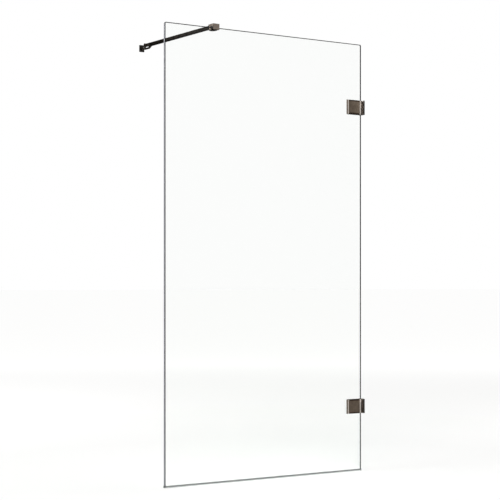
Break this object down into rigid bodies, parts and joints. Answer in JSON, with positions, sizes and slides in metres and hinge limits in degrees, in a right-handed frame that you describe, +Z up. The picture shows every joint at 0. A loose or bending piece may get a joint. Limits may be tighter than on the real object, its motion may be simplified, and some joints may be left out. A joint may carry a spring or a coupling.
{
  "type": "bath screen",
  "caption": "Frameless clear glass bath screen with bevelled wall brackets, a clear bottom seal and a stabiliser arm that swivels at both ends.",
  "frame": {"origin": "under the middle of the glass, on the rim that the bottom seal rests on, in the middle of the glass thickness", "axes": "+X along the glass to the wall with the brackets, +Y from the glass to the wall that the arm reaches, +Z up"},
  "size_m": [0.808, 0.507, 1.5138],
  "materials": {
    "clear_glass": "polished toughened float glass",
    "clear_seal": "clear flexible plastic",
    "bronze_finish": "brushed dark bronze coating on metal",
    "dark_bar_finish": "satin near-black bronze coating on metal",
    "stainless": "plain stainless steel",
    "black_screws": "blackened steel",
    "black_rubber": "matt black rubber",
    "nylon": "natural nylon"
  },
  "bodies": {
    "screen": {"glass_panel": "clear_glass", "bottom_seal": "clear_seal", "arm_clamp": "bronze_finish", "arm_clamp_liner": "black_rubber", "clamp_pressure_plate": "stainless", "clamp_grub_screws": "black_screws", "swivel_screw": "black_screws", "swivel_washers": "nylon", "upper_wall_bracket": "dark_bar_finish", "upper_front_plate": "bronze_finish", "upper_front_pad": "clear_seal", "upper_rear_pad": "clear_seal", "upper_glass_bushes": "nylon", "upper_clamp_screws": "stainless", "lower_wall_bracket": "dark_bar_finish", "lower_front_plate": "bronze_finish", "lower_front_pad": "clear_seal", "lower_rear_pad": "clear_seal", "lower_glass_bushes": "nylon", "lower_clamp_screws": "stainless"},
    "arm": {"arm_tongue": "dark_bar_finish", "stabiliser_bar": "dark_bar_finish", "bar_lock_screws": "black_screws", "wall_fork": "dark_bar_finish", "wall_pivot_screw": "black_screws", "fork_washers": "nylon"},
    "wall_flange": {"wall_flange": "dark_bar_finish", "wall_base_plate": "stainless", "flange_grub_screw": "black_screws"}
  },
  "joints": [
    {"name": "glass_end_swivel", "type": "hinge", "parent": "screen", "child": "arm", "pos_m": [-0.207, 0.022, 1.505], "axis": [0, 0, 1], "range_deg": [-75, 75]},
    {"name": "wall_end_swivel", "type": "hinge", "parent": "arm", "child": "wall_flange", "pos_m": [-0.207, 0.467, 1.49875], "axis": [0, 0, 1], "range_deg": [-90, 90]}
  ]
}
